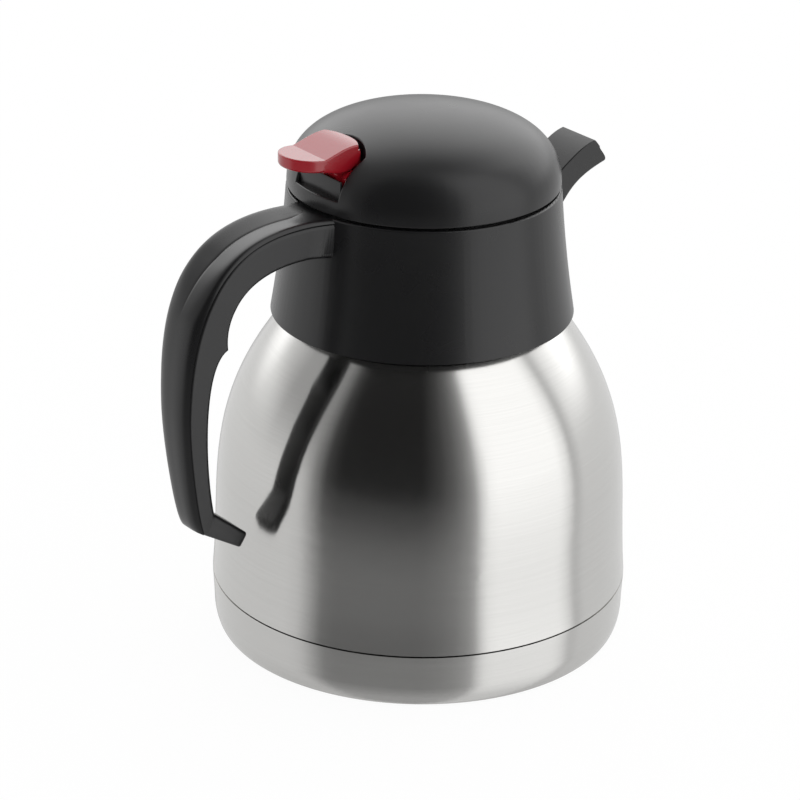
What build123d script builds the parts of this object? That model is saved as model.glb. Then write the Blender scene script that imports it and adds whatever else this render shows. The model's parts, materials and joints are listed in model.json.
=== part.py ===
from build123d import *
import math
import os

# Insulated serving jug with a screw-in stopper lid and a thumb lever. Millimetres, +Z up.
# The origin is on the jug's axis in its resting plane. The spout points to +X, the handle to -X.

# ---- steel vessel ----
BODY_R = 75.0  # widest radius, at the seam over the base cup
SEAM_Z = 20.6  # height of that seam
SEAM_GAP = 0.4
BODY_H = 109.4  # from the seam up to the neck
SHELL_T = 0.7  # outer steel wall
LINER_T = 0.6  # inner steel wall
VACUUM_GAP = 5.0
NECK_R = 39.0  # outside of the outer wall's neck
NECK_H = 11.0
NECK_TURN = 6.0  # how gently the shoulder turns up into the neck
MOUTH_STEP = 3.0  # the steel mouth is this much narrower than the neck
FLASK_FLOOR_Z = 14.0  # inside floor of the flask
FLASK_CORNER_R = 14.0
BEAD = 0.8  # rolled bead on the neck that the lock ring sits under
BEAD_RISE = 3.4  # its middle over the foot of the neck
BEAD_H = 2.0
WELD_CLEAR = 0.1  # between parts that are welded, pressed or screwed together
EMBED = 0.5  # how deep a lug, boss or web roots in the wall that carries it
CUT = 1.0  # how far a cutter runs past the face that it opens
# Control points of the side and shoulder, as (drop in radius from BODY_R, rise).
BODY_SIDE = [(0.0, 0.2), (3.33, 38.4)]  # rise over the seam
BODY_SHOULDER = [(-3.73, -46.63), (26.5, -9.7)]  # rise over the foot of the neck

# ---- base cup and vessel floor ----
CUP_T = 0.8
CUP_SIDE = [(0.0, -0.4), (0.4, -8.6), (1.3, -17.4), (2.4, -19.8)]  # points, as BODY_SIDE
FOOT_SET_IN = 4.0  # the foot ring's outer edge inside BODY_R
FOOT_W = 5.0
UNDERSIDE_RISE = 2.6
UNDERSIDE_STEP = 4.0  # width of the slope from the foot ring to the raised underside
SKIRT_OVERLAP = 7.5  # how far the outer wall tucks into the cup
SKIRT_DRAFT = 0.6  # set in for the cup's taper over the overlap
BOTTOM_Z = 8.0  # outer floor of the vacuum space
BOTTOM_T = 0.7
BOTTOM_FLANGE = 9.0
DIMPLE_R = 6.0
DIMPLE_H = 1.4
GETTER_R = 5.0
GETTER_H = 2.0
GETTER_WALL = 1.0
GETTER_FLOOR = 0.6

# ---- collar ----
COLLAR_REACH = 9.1  # top radius beyond the neck
COLLAR_FLARE = 5.5  # foot radius beyond the top radius
COLLAR_HOLLOW = 0.6  # how far the side bows in between foot and top
COLLAR_DROP = 9.0  # foot under the foot of the neck
COLLAR_H = 46.0
COLLAR_WALL = 2.4
COLLAR_EDGE = 0.7  # rounding of the top rim
COLLAR_LIP = 2.1  # how far the foot's lip reaches down to the shoulder
COLLAR_LIP_T = 0.7
SLEEVE_CLEAR = 0.2  # between the neck's bead and the sleeve
SLEEVE_WALL = 2.0
SLEEVE_DROP = 1.2  # sleeve's lower end under the foot of the neck
DECK_SEAT_DROP = 1.8  # ledge that the lid stands on, under the collar's rim
DECK_SEAT_T = 2.2
RIM_T = 2.2  # collar's wall above that ledge
GASKET_T = 1.15
GASKET_CLEAR = 0.05
LEDGE_W = 2.6  # ledge over the gasket, inside the sleeve
LEDGE_T = 1.4
RIB_COUNT = 6
RIB_T = 1.6
RIB_FOOT = 5.0  # ribs start this far over the steel rim
LOCK_RING_H = 1.35
LOCK_RING_W = 1.9
LOCK_RING_CLEAR = 0.1
LOCK_RING_GAP = 9.0  # opening in the split ring

# ---- screw thread: short lugs on a steep three-start helix ----
THREAD_LEAD = 36.0
THREAD_STARTS = 3
LUG_ARC = 32.0  # degrees
LUG_H = 2.8
LUG_REACH = 2.0  # collar's lugs, in from the sleeve's bore
LUG_CLEAR = 0.3  # between the two sets of lugs
LUG_BORE_CLEAR = 0.4  # between the stopper's lugs and the bore
LUG_FIRST = 60.0  # azimuth of the first lug, clear of the spout
LUG_RISE = 9.2  # collar's lugs over the steel rim

# ---- spout: side outline as (distance out from the collar's top edge, rise over it) ----
SPOUT_HALF = 9.4
SPOUT_ROOT_HALF = 7.4  # narrowed by draft down to the root
SPOUT_WALL = 1.6
SPOUT_ROUND = 1.2  # along the underside's edges
SPOUT_EDGE = 0.5  # and along the roof's
SPOUT_SINK = 0.6  # start of the roof outside the sleeve's bore
SPOUT_ROOF = [(1.5, -11.25), (10.8, 2.8), (21.6, 4.5)]
SPOUT_NOSE = [(23.8, 1.9), (26.1, -1.7), (26.8, -4.0)]
SPOUT_FLOOR = [(26.2, -4.8), (11.9, -9.4), (11.1, -13.6), (2.1, -28.0)]
SPOUT_ROOF_START = -12.2  # where it meets the sleeve
DUCT_FOOT = -19.5  # floor of the duct where it enters the sleeve

# ---- handle: side outline as (distance out from BODY_R, rise over the collar's top) ----
HANDLE_HALF_TOP = 10.5
HANDLE_HALF_FOOT = 6.5
HANDLE_TAPER = -18.0  # the grip narrows from here
HANDLE_FOOT = -110.0  # to here
HANDLE_ROOT_HALF = 12.5  # flared root on the collar
HANDLE_ROOT_REACH = 12.9  # how far out from the collar the flare dies out
HANDLE_SINK = 1.1  # the outlines start this far inside the collar's top edge
HANDLE_SEAT = 0.1  # between the handle's root and the collar
HANDLE_WALL = 2.2
HANDLE_ROOT_WALL = 3.2
BACK_RISE = 1.0
BACK_UPPER = [(-11.5, 1.0), (31.3, 8.5), (31.3, -60.5)]
BACK_LOWER = [(31.3, -74.0), (27.5, -101.3), (24.9, -106.4)]
GRIP_RISE = -13.2
GRIP_UPPER = [(15.1, -7.8), (14.8, -33.0), (13.9, -38.3)]
GRIP_LOWER = [(25.1, -43.1), (21.8, -88.2), (18.3, -100.6)]
TOE = [(7.2, -109.4), (5.8, -110.8), (8.5, -114.6)]
CHANNEL_END = -90.0
COVER_T = 2.4  # depth of the crowned back cover at its middle
COVER_EDGE = 0.5
COVER_CLEAR = 0.1
COVER_TONGUE = 1.0  # depth of the tongue that locates the cover in the channel
COVER_TONGUE_CLEAR = 0.3  # on each side of it
COVER_STATIONS = 14
COVER_CROWDING = 1.6  # stations stand closer together near the flared root
COVER_TONGUE_FIRST = 3
COVER_TONGUE_LAST = 12
REVEAL_W = 0.7  # shadow line between the cover and the grip's sides
REVEAL_H = 1.0
HANDLE_SCREW_Y = 5.0
HANDLE_SCREW_DROP = 7.0
SCREW_R = 1.45
SCREW_HEAD_R = 2.7
SCREW_HEAD_H = 1.8
SCREW_SLOT_W = 0.8
SCREW_SLOT_DEPTH = 0.8
SCREW_SLOT_L = 3.2
SCREW_PASS = 0.15
SCREW_GRIP = 0.05
BOSS_WALL = 1.9
SCREW_DEPTH = 5.5

# ---- lid ----
LID_SET_IN = 0.23  # dome's edge inside the collar's top edge
LID_GAP = 1.0  # shadow gap under the dome's edge
LID_H = 25.2
LID_EDGE = 0.5  # rounding of its foot
LID_SKIRT_H = 0.8
LID_T = 2.2
DOME_SIDE = 0.709  # height share of the dome curve's side handle
DOME_CROWN = 0.631  # radius share of its crown handle
DECK_CLEAR = 0.2  # between the deck and the collar's ledge
DECK_T = 2.0
DECK_RIM_H = 5.6
DECK_RIM_T = 2.0
DECK_RIM_CLEAR = 0.12
LID_SCREW_SET_IN = 2.38  # screw heads clear of the deck's spigot
LID_SCREW_COUNT = 3
LID_SCREW_LENGTH = 10.5

# ---- pocket and lever: outlines as (distance out from the pivot, rise over it) ----
PIVOT_SET_IN = 10.87  # lever pin inside the dome's edge
PIVOT_RISE = 10.0  # and over it
PIN_R = 1.5
PIN_RUN = 0.05
PIN_SEAT = 0.02
PIVOT_BOSS_R = 3.2
POCKET_HALF = 12.0
POCKET_END = -7.5  # rounded inner end
POCKET_SIDE = -2.6  # where that end meets the straight sides
POCKET_FLOOR = -4.7
POCKET_WALL = 1.6
POCKET_EDGE = 0.6  # rounding of its mouth
LEVER_GAP = 0.4  # between the lever and the pocket's bosses
LEVER_HALF = 9.9
LEVER_TOP = [(-4.8, 12.6), (-1.0, 13.0), (2.8, 12.6), (7.3, 11.4), (11.9, 10.0)]
LEVER_TIP = (22.6, 10.9)
LEVER_END_SIDE = -1.4  # where the pad's rounded inner end meets its sides
LEVER_RIM_H = 4.4  # thickness of the pad
LEVER_TOP_EDGE = 0.5  # rounding of its upper edge
LEVER_UNDER_EDGE = 1.2  # and of its lower edge
LEVER_KEEL = [(-4.0, 10.0), (-4.4, -1.6), (5.4, -1.6), (6.0, 3.0), (13.0, 6.2), (9.0, 8.0)]
LEVER_KEEL_HALF = 7.4
LEVER_HEEL_R = 4.2
ARM_HALF = 4.0
ARM_H = 4.0
FORK_HALF = 6.6
FORK_SLOT_HALF = 3.2
FORK_SLOT_END = 4.7
FORK_LENGTH = 8.0
NOSE_DROP = 2.0  # the fork's round nose lies this far under the pivot's level
ARM_SLOT_CLEAR = 1.2
ARM_SWING = 3.0  # room over the arm as it swings
HEAD_CLEAR = 0.3  # between the fork and the cap it lifts

# ---- stopper ----
PLUG_CLEAR = 2.0  # between the plug and the steel mouth, for the ring's lips
PLUG_WALL = 3.4
PLUG_DEPTH = 12.2  # plug's floor under the steel rim
PLUG_FLOOR_T = 2.0
PLUG_BEVEL = 1.0
CHAMBER_SET_IN = 3.0  # pour chamber's outside in from the sleeve's bore
CHAMBER_WALL = 2.0
STEP_RISE = 0.5  # the plug widens this far over the steel rim
STEP_T = 2.0
SEAL_DROP = 6.8  # ring's groove under the steel rim
SEAL_H = 3.0
SEAL_DEPTH = 1.2
SEAL_CLEAR = 0.2
SEAL_REACH = 0.3  # left between the ring's lips and the steel
SEAL_ROOT = 0.3
LIP_LOW = 0.4  # each lip, from the ring's face
LIP_HIGH = 0.8
WINDOW_COUNT = 8
WINDOW_WIDTH = 14.0
WINDOW_DROP = 7.0  # top of the pour windows under the collar's rim
WINDOW_H = 8.0
BAND_SET_IN = 1.3  # stopper's upper band in from the sleeve's bore
BAND_H = 4.3
BAND_BEVEL = 0.6
BAND_GROOVE = 1.3
COLLAR_RING_R = 1.05  # section radius of the upper ring
SPIGOT_T = 1.8
SPIGOT_H = 3.0
VALVE_HOLE_R = 9.2
SEAT_T = 1.6
SEAT_H = 0.6

# ---- valve ----
STEM_R = 2.6
STEM_RUN = 0.08
STEM_END_R = 1.9
GUIDE_R = 5.8
GUIDE_DROP = 7.4  # guide's ends under and over the deck
GUIDE_RISE = 3.1
WIPER_R = 4.4
WIPER_H = 1.9
CAP_R = 7.0
CAP_H = 2.4
VALVE_R = 12.0
VALVE_T = 2.6
VALVE_HUB_R = 4.9
VALVE_HUB_H = 4.5
VALVE_SEAL_T = 1.2
VALVE_SEAL_SET_IN = 0.4
VALVE_SEAT_CLEAR = 0.1
SPRING_R = 6.3
SPRING_WIRE_R = 0.6
SPRING_TURNS = 6

# ---- levels and radii that follow from them ----
FAR = 2 * BODY_R  # beyond every part, for cutting forms
NECK_Z = SEAM_Z + BODY_H
RIM_Z = NECK_Z + NECK_H
MOUTH_R = NECK_R - MOUTH_STEP
BEAD_Z = NECK_Z + BEAD_RISE
FOOT_OUT_R = BODY_R - FOOT_SET_IN
FOOT_IN_R = FOOT_OUT_R - FOOT_W
UNDERSIDE_R = FOOT_IN_R - UNDERSIDE_STEP
COLLAR_TOP_R = NECK_R + COLLAR_REACH
COLLAR_FOOT_R = COLLAR_TOP_R + COLLAR_FLARE
COLLAR_FOOT_Z = NECK_Z - COLLAR_DROP
COLLAR_TOP_Z = COLLAR_FOOT_Z + COLLAR_H
SLEEVE_R = NECK_R + BEAD + SLEEVE_CLEAR
SLEEVE_OUT_R = SLEEVE_R + SLEEVE_WALL
SLEEVE_ROOT_R = SLEEVE_R + SLEEVE_WALL / 2
SLEEVE_FOOT_Z = NECK_Z - SLEEVE_DROP
DECK_SEAT_Z = COLLAR_TOP_Z - DECK_SEAT_DROP
DECK_SEAT_R = COLLAR_TOP_R - RIM_T
LEDGE_R = SLEEVE_R - LEDGE_W
LEDGE_Z = RIM_Z + GASKET_T + 2 * GASKET_CLEAR
COLLAR_LUG_R = SLEEVE_R - LUG_REACH
COLLAR_LUG_Z = RIM_Z + LUG_RISE
STOPPER_LUG_R = SLEEVE_R - LUG_BORE_CLEAR
THREAD_R = (COLLAR_LUG_R + STOPPER_LUG_R) / 2
ROOT_END_R = COLLAR_TOP_R + HANDLE_ROOT_REACH
ROOT_WALL_R = COLLAR_TOP_R + HANDLE_ROOT_WALL
HANDLE_TAPER_Z = COLLAR_TOP_Z + HANDLE_TAPER
HANDLE_FOOT_Z = COLLAR_TOP_Z + HANDLE_FOOT
HANDLE_SCREW_Z = COLLAR_TOP_Z - HANDLE_SCREW_DROP
LID_R = COLLAR_TOP_R - LID_SET_IN
LID_EDGE_Z = COLLAR_TOP_Z + LID_GAP
LID_TOP_Z = LID_EDGE_Z + LID_H
DECK_Z = DECK_SEAT_Z + DECK_CLEAR
DECK_TOP_Z = DECK_Z + DECK_T
PIVOT_R = LID_R - PIVOT_SET_IN
PIVOT_Z = LID_EDGE_Z + PIVOT_RISE
POCKET_FLOOR_Z = PIVOT_Z + POCKET_FLOOR
NOSE_Z = PIVOT_Z - NOSE_DROP
CAP_Z = NOSE_Z + ARM_H / 2 + HEAD_CLEAR
PLUG_R = MOUTH_R - PLUG_CLEAR
PLUG_FLOOR_Z = RIM_Z - PLUG_DEPTH
PLUG_TOP_Z = PLUG_FLOOR_Z + PLUG_FLOOR_T
SEAL_Z = RIM_Z - SEAL_DROP
CHAMBER_R = SLEEVE_R - CHAMBER_SET_IN
SPIGOT_R = CHAMBER_R - CHAMBER_WALL - DECK_RIM_CLEAR
LID_SCREW_R = SPIGOT_R - SPIGOT_T - SCREW_HEAD_R - LID_SCREW_SET_IN
STOPPER_TOP_Z = DECK_Z - WELD_CLEAR
BAND_R = SLEEVE_R - BAND_SET_IN
BAND_Z = STOPPER_TOP_Z - BAND_H
GROOVE_R = BAND_R - BAND_GROOVE
GROOVE_Z = (BAND_Z + BAND_BEVEL + STOPPER_TOP_Z) / 2
GUIDE_LOW_Z = DECK_Z - GUIDE_DROP
GUIDE_HIGH_Z = DECK_TOP_Z + GUIDE_RISE
VALVE_SEAL_Z = PLUG_TOP_Z + SEAT_H + VALVE_SEAT_CLEAR
VALVE_Z = VALVE_SEAL_Z + VALVE_SEAL_T


# ---- outlines and simple forms ----
def inset(corners, depth):
    """An open run of control points moved sideways by depth, to the left of the way it runs."""
    normals = []
    for (x0, y0), (x1, y1) in zip(corners, corners[1:]):
        run = math.hypot(x1 - x0, y1 - y0)
        normals.append(((y0 - y1) / run, (x1 - x0) / run))
    moved = []
    for index, (x, y) in enumerate(corners):
        ax, ay = normals[max(index - 1, 0)]
        bx, by = normals[min(index, len(normals) - 1)]
        share = depth / (1 + ax * bx + ay * by)
        moved.append((x + share * (ax + bx), y + share * (ay + by)))
    return moved


def beyond(start, end, distance):
    """A point on the line through two points, past the second by a distance."""
    run = math.hypot(end[0] - start[0], end[1] - start[1])
    share = distance / run
    return (end[0] + share * (end[0] - start[0]), end[1] + share * (end[1] - start[1]))


def turned(*edges):
    """The solid that a closed outline of (radius, height) edges sweeps round the axis."""
    return revolve(Plane.XZ * make_face(Curve() + list(edges)), Axis.Z)


def lathe(*points):
    """The same from a closed polygon of (radius, height) corners."""
    return turned(Polyline(*points, close=True))


def ring(inner, outer, low, high):
    """A plain upright ring, or a disc where inner is 0."""
    return lathe((inner, low), (outer, low), (outer, high), (inner, high))


def post(radius, low, high):
    """An upright cylinder on the axis between two heights."""
    return Pos(0, 0, (low + high) / 2) * Cylinder(radius, high - low)


def lying(radius, near, far):
    """A cylinder along -X between two distances from the axis."""
    return Pos(-(near + far) / 2, 0, 0) * Rot(Y=90) * Cylinder(radius, far - near)


def block(near, far, half, low, high):
    """A box from near to far along X, as wide as 2 half, between two heights."""
    return Pos((near + far) / 2, 0, (low + high) / 2) * Box(far - near, 2 * half, high - low)


def side_slab(edges, half):
    """A side outline of (distance from the axis, height) edges, as thick as 2 half across Y."""
    return extrude(Plane.XZ * make_face(Curve() + list(edges)), half, both=True)


def toward_handle(shape):
    """The shape turned half round, from the spout's side to the handle's."""
    return Rot(Z=180) * shape


def around(count, shape, first=0.0):
    """Copies of a shape, evenly round the axis."""
    return [Rot(Z=first + index * 360 / count) * shape for index in range(count)]


# ---- steel vessel ----
def body_points(points, level=SEAM_Z):
    return [(BODY_R - drop, level + rise) for drop, rise in points]


def body_side():
    """Control points of the outer wall, from the seam to where it turns into the neck."""
    return body_points(BODY_SIDE) + body_points(BODY_SHOULDER, NECK_Z)


def body_wall(side, neck_r):
    """The side and shoulder, then the turn into an upright neck."""
    into_neck = beyond(side[-2], side[-1], NECK_TURN)
    return [
        Bezier(*side),
        Bezier(side[-1], into_neck, (neck_r, NECK_Z - NECK_TURN), (neck_r, NECK_Z)),
    ]


def outer_shell():
    side = body_side()
    inner_side = inset(side, SHELL_T)
    bead_low = BEAD_Z - BEAD_H / 2
    bead_high = BEAD_Z + BEAD_H / 2
    neck_in = NECK_R - SHELL_T
    neck_top = RIM_Z - LINER_T
    tuck = BODY_R - CUP_T - WELD_CLEAR - SKIRT_DRAFT
    shoulder_z = side[0][1] + SHELL_T
    inner_side[0] = (side[0][0] - SHELL_T, shoulder_z)
    return turned(
        *body_wall(side, NECK_R),
        Line((NECK_R, NECK_Z), (NECK_R, bead_low)),
        ThreePointArc((NECK_R, bead_low), (NECK_R + BEAD, BEAD_Z), (NECK_R, bead_high)),
        Polyline((NECK_R, bead_high), (NECK_R, neck_top), (neck_in, neck_top), (neck_in, NECK_Z)),
        *body_wall(inner_side, neck_in),
        Polyline(
            inner_side[0], (tuck - SHELL_T, side[0][1]), (tuck - SHELL_T, SEAM_Z - SKIRT_OVERLAP),
            (tuck, SEAM_Z - SKIRT_OVERLAP), (tuck, SEAM_Z - SEAM_GAP), side[0],
        ),
    )


def outer_bottom():
    """Floor of the vacuum space, welded inside the outer wall, with the sealed pumping dimple."""
    out_r = BODY_R - CUP_T - SHELL_T - SKIRT_DRAFT - 2 * WELD_CLEAR
    in_r = out_r - BOTTOM_T
    top = BOTTOM_Z + BOTTOM_T
    dish = lathe(
        (0, BOTTOM_Z), (in_r, BOTTOM_Z), (out_r, top), (out_r, BOTTOM_Z + BOTTOM_FLANGE),
        (in_r, BOTTOM_Z + BOTTOM_FLANGE), (in_r, top), (0, top),
    )
    dimple = lathe((0, 0), (DIMPLE_R, 0), (DIMPLE_R / 2, DIMPLE_H), (0, DIMPLE_H))
    return dish + Pos(0, 0, top) * dimple - Pos(0, 0, BOTTOM_Z) * dimple


def inner_flask():
    """Drawn steel flask that hangs from the rim, with the vacuum gap all round it."""
    under = FLASK_FLOOR_Z - LINER_T
    out = inset(body_side(), SHELL_T + VACUUM_GAP)
    out[0] = (out[0][0], under + FLASK_CORNER_R)
    inside = inset(out, LINER_T)
    inside[0] = (out[0][0] - LINER_T, out[0][1])
    corner = (out[0][0] - FLASK_CORNER_R, under)
    neck = MOUTH_R + LINER_T
    flange = RIM_Z - LINER_T
    return turned(
        Line((0, under), corner),
        TangentArc(corner, out[0], tangent=(1, 0)),
        *body_wall(out, neck),
        Polyline(
            (neck, NECK_Z), (neck, flange), (NECK_R, flange), (NECK_R, RIM_Z), (MOUTH_R, RIM_Z),
            (MOUTH_R, NECK_Z),
        ),
        *body_wall(inside, MOUTH_R),
        TangentArc(inside[0], (corner[0], FLASK_FLOOR_Z), tangent=(0, -1)),
        Polyline((corner[0], FLASK_FLOOR_Z), (0, FLASK_FLOOR_Z), (0, under)),
    )


def getter_cup():
    """Small cup of gas-binding metal spot-welded under the flask, inside the vacuum."""
    top = FLASK_FLOOR_Z - LINER_T - WELD_CLEAR / 2
    low = top - GETTER_H
    return ring(0, GETTER_R, low, top) - post(GETTER_R - GETTER_WALL, low, top - GETTER_FLOOR)


def base_cup():
    """Outer cup round the vessel's foot: tapered side, foot ring and raised underside."""
    side = body_points(CUP_SIDE)
    top_in = (side[0][0] - CUP_T, side[0][1])
    inner = [(r - CUP_T, max(z, CUP_T)) for r, z in reversed(side[1:])]
    floor = UNDERSIDE_RISE + CUP_T
    return turned(
        Spline(*side, tangents=((0, -1), (-0.8, -1))),
        Polyline(
            side[-1], (FOOT_OUT_R, 0.0), (FOOT_IN_R, 0.0), (UNDERSIDE_R, UNDERSIDE_RISE),
            (0, UNDERSIDE_RISE), (0, floor), (UNDERSIDE_R + CUP_T / 2, floor),
            (FOOT_IN_R + CUP_T / 2, CUP_T), inner[0],
        ),
        Spline(*inner, top_in, tangents=((1, 1), (0, 1))),
        Line(top_in, side[0]),
    )


# ---- collar ----
def collar_radius(height):
    """Outer radius of the collar's hollow-tapered side."""
    share = (height - COLLAR_FOOT_Z) / COLLAR_H
    return COLLAR_FOOT_R - share * COLLAR_FLARE - 4 * COLLAR_HOLLOW * share * (1 - share)


def collar_side(depth=0.0):
    """The collar's side from the foot up, depth inside its outer face."""
    middle = COLLAR_FOOT_Z + COLLAR_H / 2
    return ThreePointArc(
        (COLLAR_FOOT_R - depth, COLLAR_FOOT_Z),
        (collar_radius(middle) - depth, middle),
        (COLLAR_TOP_R - depth, COLLAR_TOP_Z),
    )


def collar_form(depth=0.0):
    """Everything inside the collar's side, used to trim what joins it."""
    side = collar_side(depth)
    return turned(side, Polyline(side @ 1, (0, COLLAR_TOP_Z), (0, COLLAR_FOOT_Z), side @ 0))


def thread_lugs(inner, outer, height):
    """Short lugs on the three-start helix, centred on the given height."""
    slope = math.degrees(math.atan(THREAD_LEAD / (2 * math.pi * THREAD_R)))
    length = 2 * THREAD_R * math.sin(math.radians(LUG_ARC / 2))
    band = ring(inner, outer, height - THREAD_LEAD / 4, height + THREAD_LEAD / 4)
    lug = Pos(THREAD_R, 0, height) * Rot(X=slope) * Box(2 * LUG_ARC, length, LUG_H)
    lug &= block(0, FAR, length, height - THREAD_LEAD / 4, height + THREAD_LEAD / 4)
    return [band & one for one in around(THREAD_STARTS, lug, LUG_FIRST)]


def collar_wall():
    """Outer wall with its top rim and foot lip, and the sleeve inside with the lid's ledge."""
    side = collar_side()
    inside = collar_side(COLLAR_WALL)
    lip_z = COLLAR_FOOT_Z - COLLAR_LIP
    lip_r = COLLAR_FOOT_R - COLLAR_WALL - (COLLAR_LIP_T - EMBED) / 2
    rim_foot = COLLAR_TOP_Z - CUT
    shell = turned(
        side,
        Polyline(side @ 1, (DECK_SEAT_R, COLLAR_TOP_Z), (DECK_SEAT_R, rim_foot), inside @ 1),
        inside,
        Polyline(inside @ 0, (lip_r, lip_z), (lip_r + COLLAR_LIP_T, lip_z), side @ 0),
    )
    past = COLLAR_TOP_R + CUT
    edge_z = COLLAR_TOP_Z - COLLAR_EDGE
    edge = (collar_radius(edge_z), edge_z)
    edge_in = (COLLAR_TOP_R - COLLAR_EDGE, COLLAR_TOP_Z)
    corner = turned(
        TangentArc(edge, edge_in, tangent=(0, 1)),
        Polyline(edge_in, (past, COLLAR_TOP_Z), (past, edge_z), edge),
    )
    groove_high = BEAD_Z - BEAD_H / 2 + LOCK_RING_CLEAR
    groove_low = groove_high - LOCK_RING_H - 2 * LOCK_RING_CLEAR
    groove_r = NECK_R + LOCK_RING_W + 3 * LOCK_RING_CLEAR
    seat_under = DECK_SEAT_Z - DECK_SEAT_T
    seat_r = DECK_SEAT_R + EMBED
    sleeve = lathe(
        (SLEEVE_R, DECK_SEAT_Z), (SLEEVE_R, LEDGE_Z + LEDGE_T), (LEDGE_R, LEDGE_Z + LEDGE_T),
        (LEDGE_R, LEDGE_Z), (SLEEVE_R, LEDGE_Z), (SLEEVE_R, groove_high), (groove_r, groove_high),
        (groove_r, groove_low), (SLEEVE_R, groove_low), (SLEEVE_R, SLEEVE_FOOT_Z),
        (SLEEVE_OUT_R, SLEEVE_FOOT_Z), (SLEEVE_OUT_R, seat_under), (seat_r, seat_under),
        (seat_r, DECK_SEAT_Z),
    )
    return shell - corner + sleeve


def collar_ribs():
    """Upright webs between the sleeve and the outer wall."""
    high = DECK_SEAT_Z - DECK_SEAT_T + EMBED
    web = block(SLEEVE_ROOT_R, COLLAR_FOOT_R, RIB_T / 2, RIM_Z + RIB_FOOT, high)
    inside = collar_form(COLLAR_WALL - EMBED)
    return [inside & one for one in around(RIB_COUNT, web, 180 / RIB_COUNT)]


def spout_points(points):
    return [(COLLAR_TOP_R + out, COLLAR_TOP_Z + rise) for out, rise in points]


def spout_width_form(less=0.0):
    """Space between the spout's side faces, less a wall, drafted down to the root."""
    top = SPOUT_HALF - less
    foot = SPOUT_ROOT_HALF - less
    high = COLLAR_TOP_Z + SPOUT_ROOF[-1][1] + CUT
    low = COLLAR_TOP_Z + SPOUT_FLOOR[-1][1] - CUT
    front = Polyline((-top, high), (top, high), (foot, low), (-foot, low), close=True)
    return extrude(Plane.YZ * make_face(front), FAR)


def spout_roof():
    return [(SLEEVE_R + SPOUT_SINK, COLLAR_TOP_Z + SPOUT_ROOF_START)] + spout_points(SPOUT_ROOF)


def long_edges(beak, low, high):
    """The beak's long side edges whose lower end lies between two heights."""
    return [
        edge for edge in beak.edges()
        if edge.length > 2 * SPOUT_HALF and abs((edge @ 0).Y + (edge @ 1).Y) > SPOUT_HALF
        and low < min((edge @ 0).Z, (edge @ 1).Z) < high
    ]


def spout_beak():
    """Solid beak, rounded along its long edges."""
    roof = spout_roof()
    nose = spout_points(SPOUT_NOSE)
    floor = spout_points(SPOUT_FLOOR)
    beak = side_slab(
        [
            Bezier(*roof),
            Line(roof[-1], nose[0]),
            Spline(*nose, floor[0]),
            Bezier(*floor),
            Polyline(floor[-1], (roof[0][0], floor[-1][1]), roof[0]),
        ],
        SPOUT_HALF + CUT,
    )
    beak &= spout_width_form()
    beak = fillet(long_edges(beak, roof[0][1] - EMBED, LID_TOP_Z), SPOUT_EDGE)
    return fillet(long_edges(beak, floor[-1][1] - EMBED, roof[0][1] - EMBED), SPOUT_ROUND)


def spout_duct():
    """Pour duct from the stopper's windows out through the beak."""
    roof = inset(spout_roof(), -SPOUT_WALL)
    floor = inset(spout_points(SPOUT_FLOOR), -SPOUT_WALL)
    roof_out = beyond(roof[-2], roof[-1], SPOUT_HALF)
    floor_out = beyond(floor[1], floor[0], SPOUT_HALF)
    duct = side_slab(
        [
            Line((COLLAR_LUG_R, roof[0][1]), roof[0]),
            Bezier(*roof),
            Polyline(roof[-1], roof_out, floor_out, floor[0]),
            Bezier(*floor),
            Polyline(floor[-1], (COLLAR_LUG_R, floor[-1][1]), (COLLAR_LUG_R, roof[0][1])),
        ],
        SPOUT_HALF,
    )
    duct &= spout_width_form(SPOUT_WALL)
    return duct & block(0, FAR, SPOUT_HALF, COLLAR_TOP_Z + DUCT_FOOT, LID_TOP_Z)


def at_handle_screws(shape):
    """Copies of an X-lying shape on the two screw axes, on the handle's side."""
    return [Pos(0, side * HANDLE_SCREW_Y, HANDLE_SCREW_Z) * shape for side in (-1, 1)]


def collar():
    body = collar_wall() + collar_ribs()
    boss = lying(SCREW_R + BOSS_WALL, SLEEVE_ROOT_R, COLLAR_FOOT_R)
    inside = collar_form(COLLAR_WALL - EMBED)
    body += [inside & one for one in at_handle_screws(boss)]
    body += spout_beak() - ring(0, SLEEVE_ROOT_R, COLLAR_FOOT_Z, LID_TOP_Z)
    body += thread_lugs(COLLAR_LUG_R, SLEEVE_ROOT_R, COLLAR_LUG_Z)
    body -= spout_duct()
    bore = lying(SCREW_R + SCREW_GRIP, ROOT_WALL_R - HANDLE_ROOT_WALL - SCREW_DEPTH, ROOT_WALL_R)
    for hole in at_handle_screws(bore):
        body -= hole
    return body


def neck_gasket():
    low = RIM_Z + GASKET_CLEAR
    return ring(LEDGE_R, SLEEVE_R - SLEEVE_CLEAR, low, low + GASKET_T)


def lock_ring():
    """Sprung split ring that holds the collar down under the neck's bead."""
    high = BEAD_Z - BEAD_H / 2
    inner = NECK_R + LOCK_RING_CLEAR
    hoop = ring(inner, inner + LOCK_RING_W, high - LOCK_RING_H, high)
    gap = block(0, FAR, LOCK_RING_GAP / 2, high - 2 * LOCK_RING_H, high + LOCK_RING_H)
    return hoop - Rot(Z=90) * gap


# ---- handle ----
def handle_points(points):
    return [(BODY_R + out, COLLAR_TOP_Z + rise) for out, rise in points]


def handle_line(rise, upper, lower, depth):
    """Two joined curves from the collar down the handle, moved to their left by depth."""
    first = [(COLLAR_TOP_R - HANDLE_SINK, COLLAR_TOP_Z + rise)] + handle_points(upper)
    second = [first[-1]] + handle_points(lower)
    return inset(first, depth), inset(second, depth)


def back_line(depth):
    """The back's two curves, moved in by depth."""
    return handle_line(BACK_RISE, BACK_UPPER, BACK_LOWER, -depth)


def grip_line(depth):
    """The grip face's two curves, which meet at the finger stop, moved in by depth."""
    return handle_line(GRIP_RISE, GRIP_UPPER, GRIP_LOWER, depth)


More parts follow.
